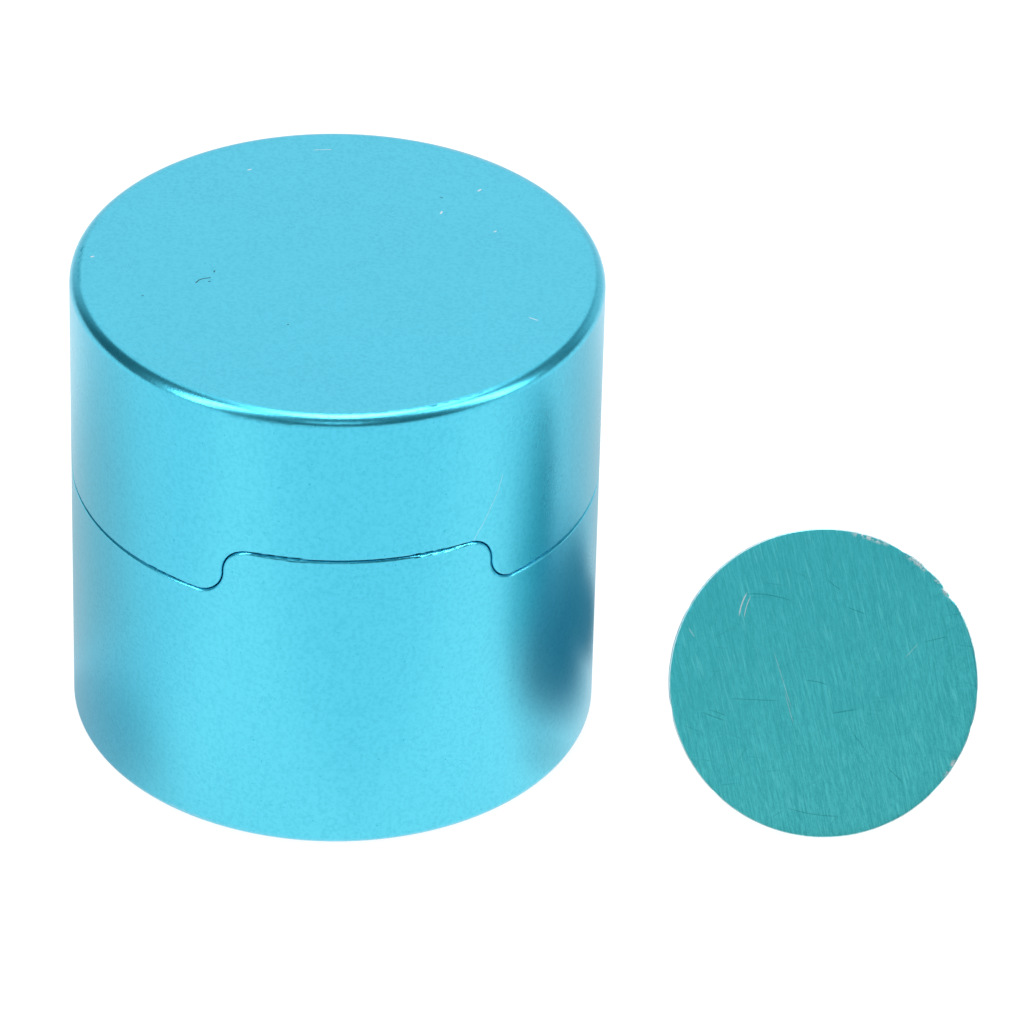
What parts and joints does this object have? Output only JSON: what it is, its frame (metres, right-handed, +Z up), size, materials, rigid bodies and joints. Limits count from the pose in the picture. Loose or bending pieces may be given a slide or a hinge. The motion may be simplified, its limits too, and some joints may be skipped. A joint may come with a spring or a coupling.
{
  "type": "pill crusher",
  "caption": "Pocket pill crusher: round two-part anodised aluminium body with a keyed lid seam, ridged steel plates inside, and a loose brushed disc.",
  "frame": {"origin": "on the crusher's own axis, at the flat face that it rests on", "axes": "+Z up along the crusher's axis, -Y towards the front, where one lug of the base's rim shows; the loose disc stands on the +X side"},
  "size_m": [0.0687, 0.04, 0.0386],
  "materials": {
    "anodised_body": "bead-blasted, anodised light blue, satin",
    "brushed_disc": "brushed, anodised teal, scratched",
    "machined_steel": "turned",
    "machined_aluminium": "turned",
    "fastener_steel": "bright",
    "seal_rubber": "matt",
    "nickel_magnet": "nickel plated"
  },
  "bodies": {
    "base": {"base_body": "anodised_body", "chamber_sleeve": "machined_steel", "lower_crush_plate": "machined_steel", "lower_plate_screw": "fastener_steel", "lower_dowel_pin": "fastener_steel", "base_magnet_1": "nickel_magnet", "base_magnet_2": "nickel_magnet", "base_magnet_3": "nickel_magnet"},
    "lid": {"lid_body": "anodised_body", "plunger": "machined_aluminium", "upper_crush_plate": "machined_steel", "upper_plate_screw": "fastener_steel", "upper_dowel_pin": "fastener_steel", "plunger_o_ring": "seal_rubber", "lid_magnet_1": "nickel_magnet", "lid_magnet_2": "nickel_magnet", "lid_magnet_3": "nickel_magnet"},
    "disc": {"loose_disc": "brushed_disc"}
  },
  "joints": [
    {"name": "lid_lift", "type": "slide", "parent": "base", "child": "lid", "axis": [0, 0, 1], "range_m": [0, 0.04]},
    {"name": "disc_tip", "type": "hinge", "parent": "base", "child": "disc", "pos_m": [0.03698, -0.0183, 0], "axis": [1, 0, 0], "range_deg": [-55.66, 0]}
  ]
}
